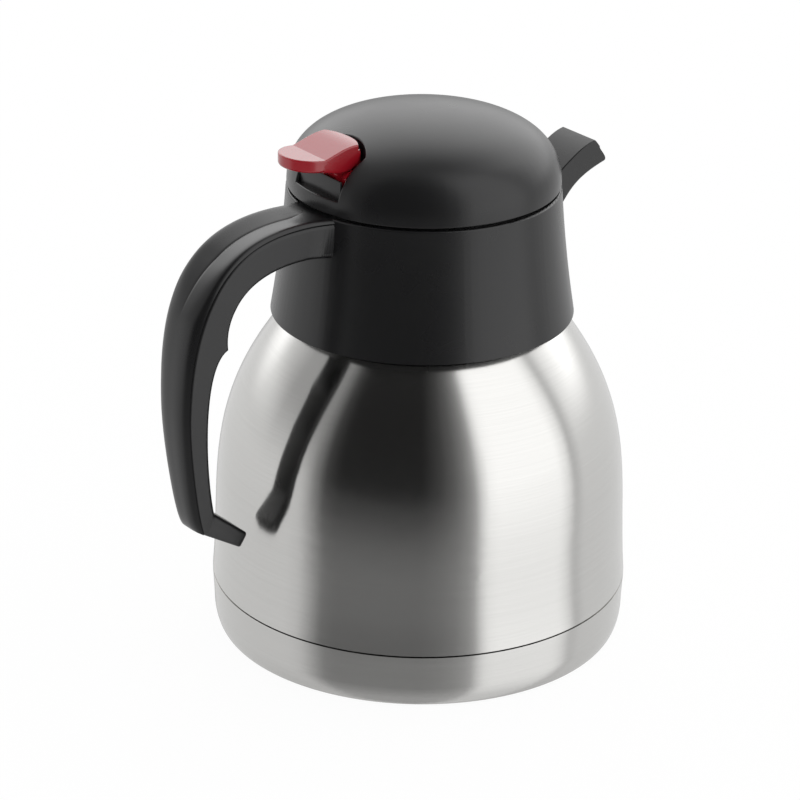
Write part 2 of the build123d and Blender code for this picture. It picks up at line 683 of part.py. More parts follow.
def handle_half_width(distance, height):
    """Half the handle's width at a point of its back."""
    if distance < ROOT_END_R:
        share = (ROOT_END_R - distance) / HANDLE_ROOT_REACH
        return HANDLE_HALF_TOP + (HANDLE_ROOT_HALF - HANDLE_HALF_TOP) * share**2
    share = (HANDLE_TAPER_Z - height) / (HANDLE_TAPER_Z - HANDLE_FOOT_Z)
    return HANDLE_HALF_TOP - max(share, 0.0) * (HANDLE_HALF_TOP - HANDLE_HALF_FOOT)


def handle_width_form(less=0.0):
    """Space between the handle's side faces, less a wall: flared at the root, tapering down."""
    top = HANDLE_ROOT_HALF - less
    mid = HANDLE_HALF_TOP - less
    foot = HANDLE_HALF_FOOT - less
    front = Polyline(
        (-top, LID_TOP_Z), (top, LID_TOP_Z), (top, HANDLE_TAPER_Z), (mid, HANDLE_TAPER_Z),
        (foot, HANDLE_FOOT_Z), (foot, 0), (-foot, 0), (-foot, HANDLE_FOOT_Z),
        (-mid, HANDLE_TAPER_Z), (-top, HANDLE_TAPER_Z), close=True,
    )
    root = COLLAR_TOP_R - 2 * COLLAR_WALL
    middle = COLLAR_TOP_R + HANDLE_ROOT_REACH / 2
    plan = [
        Line((root, -top), (COLLAR_TOP_R, -top)),
        Bezier((COLLAR_TOP_R, -top), (middle, -mid), (ROOT_END_R, -mid)),
        Polyline((ROOT_END_R, -mid), (FAR, -mid), (FAR, mid), (ROOT_END_R, mid)),
        Bezier((ROOT_END_R, mid), (middle, mid), (COLLAR_TOP_R, top)),
        Polyline((COLLAR_TOP_R, top), (root, top), (root, -top)),
    ]
    across = extrude(Plane.YZ * make_face(front), FAR)
    return across & extrude(make_face(Curve() + plan), LID_TOP_Z)


def handle_channel():
    """Hollow of the grip: open to the back, with a wall left at the root, sides and grip face."""
    back_upper, back_lower = back_line(-COVER_T)
    upper, lower = grip_line(HANDLE_WALL)
    upper_face = Bezier(*upper)
    lower_face = Bezier(*lower)
    floor = [upper[0], upper_face @ 0.35, upper_face @ 0.65]
    floor += [lower_face @ 0.25, lower_face @ 0.5, lower_face @ 0.75, lower[-1]]
    channel = side_slab(
        [
            Bezier(*back_upper),
            Bezier(*back_lower),
            Line(back_lower[-1], floor[-1]),
            Spline(*floor),
            Line(floor[0], back_upper[0]),
        ],
        HANDLE_ROOT_HALF,
    )
    channel &= block(ROOT_WALL_R, FAR, HANDLE_ROOT_HALF, COLLAR_TOP_Z + CHANNEL_END, LID_TOP_Z)
    return channel & handle_width_form(HANDLE_WALL)


def handle_reveal():
    """Narrow step round the grip's open edge, which leaves a shadow line under the cover."""
    upper, lower = back_line(COVER_T)
    deep_upper, deep_lower = back_line(COVER_T + REVEAL_H)
    band = side_slab(
        [
            Bezier(*upper),
            Bezier(*lower),
            Line(lower[-1], deep_lower[-1]),
            Bezier(*deep_lower),
            Bezier(*deep_upper),
            Line(deep_upper[0], upper[0]),
        ],
        HANDLE_ROOT_HALF + CUT,
    )
    return band - handle_width_form(REVEAL_W)


def handle():
    """The grip: a channel, open to the back, that screws to the collar at its flared root."""
    upper, lower = back_line(COVER_T)
    grip_upper, grip_lower = grip_line(0.0)
    solid = side_slab(
        [
            Bezier(*upper),
            Bezier(*lower),
            Polyline(lower[-1], *reversed(handle_points(TOE)), grip_lower[-1]),
            Bezier(*grip_lower),
            Bezier(*grip_upper),
            Line(grip_upper[0], upper[0]),
        ],
        HANDLE_ROOT_HALF + CUT,
    )
    solid &= handle_width_form()
    solid -= handle_channel()
    solid -= handle_reveal()
    solid = toward_handle(solid) - collar_form(-HANDLE_SEAT)
    pass_hole = lying(SCREW_R + SCREW_PASS, ROOT_WALL_R - 2 * HANDLE_ROOT_WALL, ROOT_WALL_R + CUT)
    for hole in at_handle_screws(pass_hole):
        solid -= hole
    return solid


def cover_section(place, half, top, bottom, crowned):
    """One cross-section of the back cover on its plane."""
    foot = [(half, top), (half, bottom), (-half, bottom), (-half, top)]
    if crowned:
        crown = ThreePointArc((-half, top), (0, 0), (half, top))
        return place * make_face(Curve() + [crown, Polyline(*foot)])
    return place * make_face(Polyline(*foot, close=True))


def toe_underside():
    """Space under the handle's slanting lower end."""
    heel = back_line(COVER_T)[1][-1]
    sole = handle_points(TOE)[-1]
    outside = beyond(sole, heel, FAR)
    below = Polyline(sole, outside, (outside[0], 0), (sole[0], 0), close=True)
    return side_slab([below], HANDLE_ROOT_HALF)


def handle_back():
    """Crowned strip that snaps over the channel, with a tongue that locates it."""
    upper, lower = back_line(0.0)
    path = Plane.XZ * Wire([Bezier(*upper), Bezier(*lower)])
    edge = COVER_T - COVER_EDGE
    under = COVER_T - COVER_CLEAR
    caps = []
    tongues = []
    for index in range(COVER_STATIONS + 1):
        share = (index / COVER_STATIONS) ** COVER_CROWDING
        spot = path @ share
        place = Plane(origin=spot, x_dir=(0, -1, 0), z_dir=path % share)
        half = handle_half_width(spot.X, spot.Z)
        caps.append(cover_section(place, half, edge, under, True))
        if COVER_TONGUE_FIRST <= index <= COVER_TONGUE_LAST:
            narrow = min(half, HANDLE_HALF_TOP) - HANDLE_WALL - COVER_TONGUE_CLEAR
            tongues.append(cover_section(place, narrow, edge, under + COVER_TONGUE, False))
    strip = loft(caps) + loft(tongues) - toe_underside()
    return toward_handle(strip) - collar_form(-HANDLE_SEAT)


def screw(length):
    """A slotted pan-head screw, standing head down with its shank above 0."""
    head = post(SCREW_HEAD_R, -SCREW_HEAD_H, 0)
    slot_top = SCREW_SLOT_DEPTH - SCREW_HEAD_H
    slot = block(-SCREW_SLOT_L / 2, SCREW_SLOT_L / 2, SCREW_SLOT_W / 2, -2 * SCREW_HEAD_H, slot_top)
    return head + post(SCREW_R, 0, length) - slot


def handle_screws():
    """Two screws through the handle's root wall into the collar's bosses."""
    seat = ROOT_WALL_R + WELD_CLEAR / 2
    length = HANDLE_ROOT_WALL + SCREW_DEPTH - EMBED
    fitted = Pos(-seat, 0, 0) * Rot(Y=90) * screw(length)
    return Compound(children=at_handle_screws(fitted))


# ---- lid ----
def dome_curve(radius, start, top):
    """The dome's side, from its upright skirt to its flat crown."""
    side = start + DOME_SIDE * (top - start)
    return Bezier((radius, start), (radius, side), (radius * DOME_CROWN, top), (0, top))


def dome_form(depth=0.0):
    """Everything inside the dome, depth under its outer face."""
    radius = LID_R - depth
    start = LID_EDGE_Z + LID_SKIRT_H
    top = LID_TOP_Z - depth
    return turned(
        Line((radius, LID_EDGE_Z), (radius, start)),
        dome_curve(radius, start, top),
        Polyline((0, top), (0, LID_EDGE_Z), (radius, LID_EDGE_Z)),
    )


def pocket_form(grow, low):
    """The lever's pocket in plan, grown by a wall, from a height to above the dome."""
    half = POCKET_HALF + grow
    side = PIVOT_R + POCKET_SIDE - grow / 2
    end = PIVOT_R + POCKET_END - grow
    outline = [
        ThreePointArc((side, half), (end, 0), (side, -half)),
        Polyline((side, -half), (FAR, -half), (FAR, half), (side, half)),
    ]
    plan = extrude(make_face(Curve() + outline), LID_TOP_Z + CUT - low)
    return toward_handle(Pos(0, 0, low) * plan)


def crossbar(radius, half):
    """A cylinder across the lid on the lever's pivot line."""
    return Pos(-PIVOT_R, 0, PIVOT_Z) * Rot(X=90) * Cylinder(radius, 2 * half)


def lies_on(edge, faces):
    """Whether an edge runs along any of these faces."""
    return all(min(face.distance_to(edge @ share) for face in faces) < EMBED / 10
               for share in (0.1, 0.5, 0.9))


def inside_pocket(edge):
    """Whether an edge's middle is within the pocket's walls and over its floor."""
    middle = edge.center()
    low = middle.Z > POCKET_FLOOR_Z - EMBED
    return low and middle.X < 0 and abs(middle.Y) < POCKET_HALF + EMBED


def at_lid_screws(shape):
    return around(LID_SCREW_COUNT, Pos(LID_SCREW_R, 0, 0) * shape)


def lid_dome():
    """Domed shell with the lever's pocket, its pin bosses and the deck's screw bosses."""
    shell = dome_form() - dome_form(LID_T)
    lining = dome_form(LID_T / 2)
    shell += pocket_form(POCKET_WALL, POCKET_FLOOR_Z - POCKET_WALL) & lining
    shell -= pocket_form(0, POCKET_FLOOR_Z)
    side = POCKET_HALF + POCKET_WALL
    shell += crossbar(PIVOT_BOSS_R, side) - crossbar(PIVOT_BOSS_R + CUT, LEVER_HALF + LEVER_GAP)
    shell -= crossbar(PIN_R + PIN_SEAT, side + CUT)
    end = PIVOT_R + POCKET_END
    arm_low = PIVOT_Z - ARM_H - ARM_SLOT_CLEAR
    arm_half = ARM_HALF + ARM_SLOT_CLEAR
    slot = block(end - 2 * LID_T, end + 2 * LID_T, arm_half, arm_low, PIVOT_Z + ARM_SWING)
    shell -= toward_handle(slot)
    boss = post(SCREW_R + BOSS_WALL, DECK_TOP_Z + WELD_CLEAR / 2, LID_TOP_Z)
    hole = post(SCREW_R + SCREW_GRIP, DECK_Z, DECK_TOP_Z + LID_SCREW_LENGTH)
    shell += [lining & one for one in at_lid_screws(boss)]
    for one in at_lid_screws(hole):
        shell -= one
    skin = dome_form().faces()
    mouth = shell.edges().filter_by(lambda edge: lies_on(edge, skin) and inside_pocket(edge))
    shell = fillet(mouth, POCKET_EDGE)
    foot = shell.edges().filter_by(lambda edge: abs(edge.center().Z - LID_EDGE_Z) < EMBED / 10)
    return fillet(foot.sort_by(SortBy.LENGTH)[-1], LID_EDGE)


def lid_deck():
    """Plate under the dome: closes the chamber, guides the stem, takes the screws."""
    rim_out = LID_R - LID_T - DECK_RIM_CLEAR
    rim_in = rim_out - DECK_RIM_T
    rim_top = DECK_Z + DECK_RIM_H
    deck = lathe(
        (0, DECK_Z), (rim_out, DECK_Z), (rim_out, rim_top), (rim_in, rim_top),
        (rim_in, DECK_TOP_Z), (0, DECK_TOP_Z),
    )
    deck += ring(SPIGOT_R - SPIGOT_T, SPIGOT_R, DECK_Z - SPIGOT_H, DECK_Z + EMBED)
    deck += post(GUIDE_R, GUIDE_LOW_Z, GUIDE_HIGH_Z)
    deck -= post(STEM_R + STEM_RUN, GUIDE_LOW_Z - CUT, GUIDE_HIGH_Z + CUT)
    wiper_low = GUIDE_HIGH_Z - WIPER_H - WELD_CLEAR / 2
    deck -= post(WIPER_R + WELD_CLEAR / 2, wiper_low, GUIDE_HIGH_Z + CUT)
    for hole in at_lid_screws(post(SCREW_R + SCREW_PASS, DECK_Z - CUT, DECK_TOP_Z + CUT)):
        deck -= hole
    return deck


def stem_wiper():
    return ring(STEM_R + STEM_RUN, WIPER_R, GUIDE_HIGH_Z - WIPER_H, GUIDE_HIGH_Z)


def lid_screws():
    """Three screws up through the deck into the dome's bosses."""
    fitted = Pos(0, 0, DECK_Z - WELD_CLEAR / 2) * screw(LID_SCREW_LENGTH)
    return Compound(children=at_lid_screws(fitted))


def stopper_body():
    """Threaded plug with a chamber, pour windows all round and the valve's seat in its floor."""
    step_z = RIM_Z + STEP_RISE
    step_top = step_z + STEP_T
    plug_in = PLUG_R - PLUG_WALL
    chamber_in = CHAMBER_R - CHAMBER_WALL
    body = lathe(
        (0, PLUG_FLOOR_Z), (PLUG_R - PLUG_BEVEL, PLUG_FLOOR_Z), (PLUG_R, PLUG_FLOOR_Z + PLUG_BEVEL),
        (PLUG_R, step_z), (CHAMBER_R, step_z), (CHAMBER_R, BAND_Z), (BAND_R, BAND_Z + BAND_BEVEL),
        (BAND_R, STOPPER_TOP_Z), (chamber_in, STOPPER_TOP_Z), (chamber_in, step_top),
        (plug_in, step_top - PLUG_BEVEL), (plug_in, PLUG_TOP_Z), (0, PLUG_TOP_Z),
    )
    body -= ring(PLUG_R - SEAL_DEPTH, PLUG_R + CUT, SEAL_Z, SEAL_Z + SEAL_H)
    body -= ring(GROOVE_R, BAND_R + CUT, GROOVE_Z - COLLAR_RING_R, GROOVE_Z + COLLAR_RING_R)
    body += ring(VALVE_HOLE_R, VALVE_HOLE_R + SEAT_T, PLUG_TOP_Z - EMBED, PLUG_TOP_Z + SEAT_H)
    body -= post(VALVE_HOLE_R, PLUG_FLOOR_Z - CUT, PLUG_TOP_Z + SEAT_H + CUT)
    window_top = COLLAR_TOP_Z - WINDOW_DROP
    window_half = WINDOW_WIDTH / 2
    window = block(chamber_in - CUT, FAR, window_half, window_top - WINDOW_H, window_top)
    window -= post(chamber_in - 2 * CUT, window_top - WINDOW_H, window_top)
    for one in around(WINDOW_COUNT, window):
        body -= one
    lug_z = COLLAR_LUG_Z - LUG_H - LUG_CLEAR
    return body + thread_lugs(CHAMBER_R - EMBED, STOPPER_LUG_R, lug_z)


def stopper_ring():
    """Silicone ring with two lips that wipe the steel mouth."""
    low = SEAL_Z + SEAL_CLEAR
    high = SEAL_Z + SEAL_H - SEAL_CLEAR
    middle = (low + high) / 2
    hub = PLUG_R - SEAL_DEPTH + SEAL_CLEAR
    lip = MOUTH_R - SEAL_REACH
    root = PLUG_R + SEAL_ROOT
    return lathe(
        (hub, low), (root, low), (lip, low + LIP_LOW), (lip, low + LIP_HIGH),
        (root, middle - SEAL_ROOT), (root, middle + SEAL_ROOT), (lip, high - LIP_HIGH),
        (lip, high - LIP_LOW), (root, high), (hub, high),
    )


def collar_ring():
    """Upper ring of the stopper, which keeps the pour chamber tight against the collar."""
    section = COLLAR_RING_R - SCREW_GRIP / 2
    return Pos(0, 0, GROOVE_Z) * Torus(GROOVE_R + WELD_CLEAR + COLLAR_RING_R, section)


def lever_pin():
    return crossbar(PIN_R, POCKET_HALF + POCKET_WALL)


# ---- lever ----
def lever_plan():
    """The thumb pad from above: straight sides, a shallow inner end and a half-round tip."""
    side = PIVOT_R + LEVER_END_SIDE
    end = PIVOT_R + LEVER_TOP[0][0]
    tip = PIVOT_R + LEVER_TIP[0]
    tip_side = tip - LEVER_HALF
    outline = [
        ThreePointArc((side, LEVER_HALF), (end, 0), (side, -LEVER_HALF)),
        Line((side, -LEVER_HALF), (tip_side, -LEVER_HALF)),
        ThreePointArc((tip_side, -LEVER_HALF), (tip, 0), (tip_side, LEVER_HALF)),
        Line((tip_side, LEVER_HALF), (side, LEVER_HALF)),
    ]
    return Pos(0, 0, LID_EDGE_Z) * extrude(make_face(Curve() + outline), LID_H)


def is_outline(edge):
    """Whether an edge follows the pad's outline, as its crease and its middle line don't."""
    start = edge @ 0
    end = edge @ 1
    middle_line = abs(start.Y) + abs(end.Y) < EMBED
    crease = edge.geom_type == GeomType.LINE and abs(start.X - end.X) < EMBED / 10
    return not (middle_line or crease)


def lever_points(points, drop=0.0):
    return [(PIVOT_R + out, PIVOT_Z + rise - drop) for out, rise in points]


def lever_pad():
    """The thumb pad: a thick plate with a crease across it, rounded along both edges."""
    top = lever_points(LEVER_TOP)
    tip = lever_points([LEVER_TIP])
    under = lever_points([LEVER_TIP, LEVER_TOP[-1], LEVER_TOP[0]], LEVER_RIM_H)
    pad = side_slab([Spline(*top), Polyline(top[-1], *tip, *under, top[0])], LEVER_HALF + CUT)
    pad &= lever_plan()
    upper = pad.faces().filter_by(lambda face: face.normal_at().Z > 0.5).edges()
    pad = fillet(upper.filter_by(is_outline), LEVER_TOP_EDGE)
    lower = pad.faces().filter_by(lambda face: face.normal_at().Z < -0.8).edges()
    return fillet(lower.filter_by(is_outline), LEVER_UNDER_EDGE)


def lever():
    """Thumb lever: pad, keel, heel round the pin, and an arm whose fork lifts the valve's cap."""
    keel = side_slab([Polyline(*lever_points(LEVER_KEEL), close=True)], LEVER_KEEL_HALF)
    heel = Pos(PIVOT_R, 0, PIVOT_Z) * Rot(X=90) * Cylinder(LEVER_HEEL_R, 2 * LEVER_HALF)
    body = lever_pad() + keel + heel
    low = NOSE_Z - ARM_H / 2
    high = NOSE_Z + ARM_H / 2
    body += block(FORK_LENGTH - EMBED, PIVOT_R, ARM_HALF, low, high)
    fork = block(0, FORK_LENGTH, FORK_HALF, low, high)
    fork += Pos(0, 0, NOSE_Z) * Rot(X=90) * Cylinder(ARM_H / 2, 2 * FORK_HALF)
    body += fork - block(-FORK_LENGTH, FORK_SLOT_END, FORK_SLOT_HALF, low - CUT, high + CUT)
    body -= Pos(PIVOT_R, 0, PIVOT_Z) * Rot(X=90) * Cylinder(PIN_R + PIN_RUN, 3 * LEVER_HALF)
    return toward_handle(body)


# ---- valve ----
def valve_disc():
    bore = STEM_R + WELD_CLEAR / 2
    top = VALVE_Z + VALVE_T
    return ring(bore, VALVE_R, VALVE_Z, top) + ring(bore, VALVE_HUB_R, top - EMBED, top + VALVE_HUB_H)


def valve_seal():
    return ring(0, VALVE_R - VALVE_SEAL_SET_IN, VALVE_SEAL_Z, VALVE_Z - WELD_CLEAR / 2)


def valve_stem():
    return post(STEM_R, VALVE_Z, CAP_Z) + post(STEM_END_R, CAP_Z - EMBED, CAP_Z + CAP_H)


def stem_cap():
    return ring(STEM_END_R + WELD_CLEAR / 2, CAP_R, CAP_Z + WELD_CLEAR / 2, CAP_Z + CAP_H)


def valve_spring():
    """Closing spring round the stem, between the valve disc and the deck's guide."""
    low = VALVE_Z + VALVE_T + SPRING_WIRE_R + WELD_CLEAR
    high = GUIDE_LOW_Z - SPRING_WIRE_R - WELD_CLEAR
    coil = Helix((high - low) / SPRING_TURNS, high - low, SPRING_R)
    wire = Plane(origin=coil @ 0, z_dir=coil % 0) * Circle(SPRING_WIRE_R)
    return Pos(0, 0, low) * sweep(wire, path=coil, is_frenet=True)


NODES = {
    "base_cup": base_cup,
    "outer_shell": outer_shell,
    "outer_bottom": outer_bottom,
    "inner_flask": inner_flask,
    "getter_cup": getter_cup,
    "collar": collar,
    "neck_gasket": neck_gasket,
    "lock_ring": lock_ring,
    "handle": handle,
    "handle_back": handle_back,
    "handle_screws": handle_screws,
    "lid_dome": lid_dome,
    "lid_deck": lid_deck,
    "stopper_body": stopper_body,
    "stopper_ring": stopper_ring,
    "collar_ring": collar_ring,
    "stem_wiper": stem_wiper,
    "lid_screws": lid_screws,
    "lever_pin": lever_pin,
    "lever": lever,
    "valve_disc": valve_disc,
    "valve_seal": valve_seal,
    "valve_stem": valve_stem,
    "stem_cap": stem_cap,
    "valve_spring": valve_spring,
}

os.makedirs("parts", exist_ok=True)
for name, make in NODES.items():
    export_step(make(), f"parts/{name}.step")
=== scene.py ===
import json
import math

import bmesh
import bpy
from mathutils import Matrix, Vector


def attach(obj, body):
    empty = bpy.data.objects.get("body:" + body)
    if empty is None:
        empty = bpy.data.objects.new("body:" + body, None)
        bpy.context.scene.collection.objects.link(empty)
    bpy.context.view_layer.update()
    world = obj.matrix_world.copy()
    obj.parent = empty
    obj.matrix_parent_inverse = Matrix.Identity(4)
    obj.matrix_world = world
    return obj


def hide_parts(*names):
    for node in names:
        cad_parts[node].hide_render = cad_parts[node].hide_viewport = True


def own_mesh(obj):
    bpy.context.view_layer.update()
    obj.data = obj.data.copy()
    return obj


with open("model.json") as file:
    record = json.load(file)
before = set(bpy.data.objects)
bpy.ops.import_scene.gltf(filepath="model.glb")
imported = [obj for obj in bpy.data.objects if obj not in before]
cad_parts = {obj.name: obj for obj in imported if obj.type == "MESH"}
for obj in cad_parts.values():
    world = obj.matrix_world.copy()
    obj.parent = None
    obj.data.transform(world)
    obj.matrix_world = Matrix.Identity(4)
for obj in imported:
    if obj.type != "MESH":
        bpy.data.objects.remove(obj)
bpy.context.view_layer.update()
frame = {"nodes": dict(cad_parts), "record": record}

MM = 0.001
# Edges of the scene's own pieces that turn by more than this many degrees stay sharp.
SHARP_TURN = 38.0


# ---- node trees ----
class Link:
    """A node's output that can be used in sums."""

    def __init__(self, owner, socket):
        self.owner = owner
        self.socket = socket

    def _math(self, operation, first, second):
        return self.owner.node("ShaderNodeMath", {"operation": operation}, first, second)

    def __add__(self, other):
        return self._math("ADD", self, other)

    __radd__ = __add__

    def __sub__(self, other):
        return self._math("SUBTRACT", self, other)

    def __rsub__(self, other):
        return self._math("SUBTRACT", other, self)

    def __mul__(self, other):
        return self._math("MULTIPLY", self, other)

    __rmul__ = __mul__

    def __truediv__(self, other):
        return self._math("DIVIDE", self, other)

    def __rtruediv__(self, other):
        return self._math("DIVIDE", other, self)


class Nodes:
    """A node tree, built node by node."""

    def __init__(self, tree):
        self.tree = tree
        tree.nodes.clear()

    def node(self, kind, settings, *values, out=0, **named):
        """A node with its settings made first, then the values or links of its sockets."""
        made = self.tree.nodes.new(kind)
        for key, value in settings.items():
            if key == "stops":
                ramp = made.color_ramp
                while len(ramp.elements) > 1:
                    ramp.elements.remove(ramp.elements[-1])
                for index, (at, colour) in enumerate(value):
                    stop = ramp.elements[0] if index == 0 else ramp.elements.new(at)
                    stop.position = at
                    stop.color = colour
            else:
                setattr(made, key, value)
        wanted = list(enumerate(values)) + list(named.items())
        for key, value in wanted:
            socket = made.inputs[key.replace("_", " ") if isinstance(key, str) else key]
            if isinstance(value, Link):
                self.tree.links.new(value.socket, socket)
            elif value is not None:
                socket.default_value = value
        return Link(self, made.outputs[out]) if len(made.outputs) else None

    def outputs(self, kind, *values):
        """All the outputs of a node by name."""
        made = self.node(kind, {}, *values).socket.node
        return {socket.name: Link(self, socket) for socket in made.outputs}

    def worked(self, operation, *values):
        """A Math node that no operator stands for."""
        return self.node("ShaderNodeMath", {"operation": operation}, *values)


class Finish(Nodes):
    """The shader of a material or of the world."""

    def __init__(self, owner):
        owner.use_nodes = True
        super().__init__(owner.node_tree)

    def places(self):
        """Object coordinates."""
        return self.node("ShaderNodeTexCoord", {}, out=3)

    def stretched(self, scale):
        """Object coordinates, scaled."""
        still = (0.0, 0.0, 0.0)
        return self.node("ShaderNodeMapping", {}, self.places(), still, still, scale)

    def noise(self, scale, detail=2.0, roughness=0.5, vector=None):
        return self.node(
            "ShaderNodeTexNoise", {}, Vector=vector or self.places(), Scale=scale, Detail=detail,
            Roughness=roughness,
        )

    def span(self, value, low, high, to_low=0.0, to_high=1.0):
        """A value carried from one range to another, and held there."""
        return self.node("ShaderNodeMapRange", {}, value, low, high, to_low, to_high)

    def mixed(self, share, first, second):
        """A blend of two colours."""
        return self.node(
            "ShaderNodeMix", {"data_type": "RGBA"}, share, None, None, None, None, None, first,
            second, out=2,
        )

    def bumped(self, height, distance, strength):
        return self.node(
            "ShaderNodeBump", {}, Strength=strength, Distance=distance, Height=height,
        )

    def surface(self, **sockets):
        shader = self.node("ShaderNodeBsdfPrincipled", {}, **sockets)
        self.node("ShaderNodeOutputMaterial", {}, shader)


# ---- finishes ----
def material(name):
    made = bpy.data.materials.new(name)
    return made, Finish(made)


def brushed_steel():
    """Stainless steel brushed round the axis, with faint smears."""
    made, finish = material("brushed_steel")
    fine = finish.noise(1.0, 2.0, 0.6, finish.stretched((22.0, 22.0, 7000.0)))
    broad = finish.noise(1.0, 2.0, 0.5, finish.stretched((6.0, 6.0, 1100.0)))
    streaks = finish.span(fine * 0.85 + broad * 0.15, 0.3, 0.7)
    smear = finish.noise(22.0, 3.0, 0.55)
    finish.surface(
        Base_Color=finish.mixed(streaks, (0.62, 0.615, 0.6, 1.0), (0.66, 0.655, 0.64, 1.0)),
        Metallic=1.0, Roughness=finish.span(smear, 0.35, 0.7, 0.13, 0.17),
        Anisotropic=0.9, Anisotropic_Rotation=0.25,
        Normal=finish.bumped(fine, 0.000004, 0.5),
    )
    return made


def plain_steel(name, tone, rough):
    """Drawn steel of one tone, lightly clouded."""
    made, finish = material(name)
    cloud = finish.noise(60.0, 3.0, 0.6)
    dark, light = (tone * 0.86,) * 3 + (1.0,), (tone,) * 3 + (1.0,)
    finish.surface(
        Base_Color=finish.mixed(cloud, dark, light), Metallic=1.0,
        Roughness=finish.span(cloud, 0.3, 0.7, rough, rough + 0.1),
        Normal=finish.bumped(finish.noise(900.0), 0.00001, 0.4),
    )
    return made


def black_plastic():
    """Satin polypropylene with a fine moulded grain."""
    made, finish = material("black_plastic")
    cloud = finish.noise(30.0, 3.0, 0.6)
    grain = finish.noise(3200.0, 2.0, 0.6)
    finish.surface(
        Base_Color=finish.mixed(cloud, (0.011, 0.011, 0.0115, 1.0), (0.015, 0.015, 0.016, 1.0)),
        Roughness=finish.span(cloud, 0.3, 0.7, 0.26, 0.31),
        Normal=finish.bumped(grain, 0.000005, 0.3),
    )
    return made


def red_plastic():
    """Glossy red plastic."""
    made, finish = material("red_plastic")
    cloud = finish.noise(45.0, 3.0, 0.6)
    finish.surface(
        Base_Color=finish.mixed(cloud, (0.40, 0.008, 0.018, 1.0), (0.46, 0.012, 0.024, 1.0)),
        Roughness=finish.span(cloud, 0.3, 0.7, 0.2, 0.26), Coat_Weight=0.6, Coat_Roughness=0.06,
        Normal=finish.bumped(finish.noise(1500.0), 0.000006, 0.3),
    )
    return made


def seal_silicone():
    """Pale, dull silicone."""
    made, finish = material("seal_silicone")
    cloud = finish.noise(80.0, 3.0, 0.6)
    finish.surface(
        Base_Color=finish.mixed(cloud, (0.62, 0.62, 0.6, 1.0), (0.72, 0.72, 0.7, 1.0)),
        Roughness=finish.span(cloud, 0.3, 0.7, 0.5, 0.6),
        Normal=finish.bumped(finish.noise(1200.0), 0.00001, 0.3),
    )
    return made


FINISHES = {
    "brushed_steel": brushed_steel(),
    "plain_steel": plain_steel("plain_steel", 0.6, 0.3),
    "spring_steel": plain_steel("spring_steel", 0.52, 0.25),
    "screw_steel": plain_steel("screw_steel", 0.58, 0.22),
    "black_plastic": black_plastic(),
    "red_plastic": red_plastic(),
    "seal_silicone": seal_silicone(),
}


def dress(shown, finish):
    """Gives an object one finish all over, and the record's slot of that name."""
    shown.data.materials.clear()
    shown.data.materials.append(FINISHES[finish])


for part in frame["record"]["subparts"]:
    dress(frame["nodes"][part["node"]], part["material_slot"])


def piece(name, mesh, finish, body, *nodes):
    """A finished piece that moves with a body and stands for CAD nodes."""
    made = bpy.data.objects.new(name, mesh)
    bpy.context.scene.collection.objects.link(made)
    dress(made, finish)
    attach(made, body)
    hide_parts(*nodes)
    return made


def shaded(mesh):
    """A mesh shaded smooth, with its sharp edges kept."""
    mesh.shade_smooth()
    mesh.set_sharp_from_angle(angle=math.radians(SHARP_TURN))
    return mesh


# ---- lofting ----
TRACE_STEPS = 160


def held(share):
    """A share kept between 0 and 1."""
    return min(max(share, 0.0), 1.0)


def eased(share):
    """A held share that sets out and arrives gently."""
    share = held(share)
    return share * share * (3 - 2 * share)


def bezier(points, share):
    """The place at a share of a curve through its end points, pulled by those between."""
    places = [Vector(point) for point in points]
    while len(places) > 1:
        places = [first.lerp(second, share) for first, second in zip(places, places[1:])]
    return places[0]


def traced(curves):
    """Close places along curves that join."""
    shares = [step / TRACE_STEPS for step in range(TRACE_STEPS)]
    return [bezier(curve, share) for curve in curves for share in shares] + [Vector(curves[-1][-1])]


def evenly(places, gap):
    """Places at even gaps along a traced line, its ends kept."""
    lengths = [0.0]
    for first, second in zip(places, places[1:]):
        lengths.append(lengths[-1] + (second - first).length)
    count = max(1, round(lengths[-1] / gap))
    found = []
    index = 0
    for step in range(count + 1):
        wanted = lengths[-1] * step / count
        while index < len(places) - 2 and lengths[index + 1] < wanted:
            index += 1
        share = (wanted - lengths[index]) / (lengths[index + 1] - lengths[index])
        found.append(places[index].lerp(places[index + 1], share))
    return found


def mirrored(section):
    """A whole ring from its right half, which starts and ends on the middle line."""
    return section + [(-across, along) for across, along in reversed(section[1:-1])]


def skinned(name, rings):
    """A closed mesh over rings of equal length."""
    count = len(rings[0])
    places = [place for ring in rings for place in ring]
    faces = [tuple(range(count)), tuple(range(len(places) - count, len(places)))]
    for start in range(0, len(places) - count, count):
        for index in range(count):
            here, after = start + index, start + (index + 1) % count
            faces.append((here, after, after + count, here + count))
    mesh = bpy.data.meshes.new(name)
    mesh.from_pydata(places, [], faces)
    shell = bmesh.new()
    shell.from_mesh(mesh)
    bmesh.ops.remove_doubles(shell, verts=shell.verts, dist=0.001 * MM)
    bmesh.ops.recalc_face_normals(shell, faces=shell.faces)
    shell.to_mesh(mesh)
    shell.free()
    return shaded(mesh)


# ---- the handle's line ----
# Places on the handle's curves are (distance out from the carafe's axis, height), in mm.
BACK = (
    ((47.0, 168.0), (63.5, 168.0), (106.3, 175.5), (106.3, 106.5)),
    ((106.3, 106.5), (106.3, 93.0), (102.5, 65.7), (99.9, 60.6)),
)
FACE = (
    ((47.0, 153.8), (90.1, 159.2), (89.8, 134.0), (88.9, 128.7)),
    ((88.9, 128.7), (100.1, 123.9), (96.8, 78.8), (93.2, 67.0)),
)
HEEL = Vector((97.6, 60.9))
TOE_TOP = Vector((78.2, 55.6))
TOE_SOLE = Vector((81.2, 51.1))
SOLE_LINE = (HEEL - TOE_SOLE).normalized()
# How far the crease between grip and strip lies under the back's line.
CREASE_DEPTH = 2.4
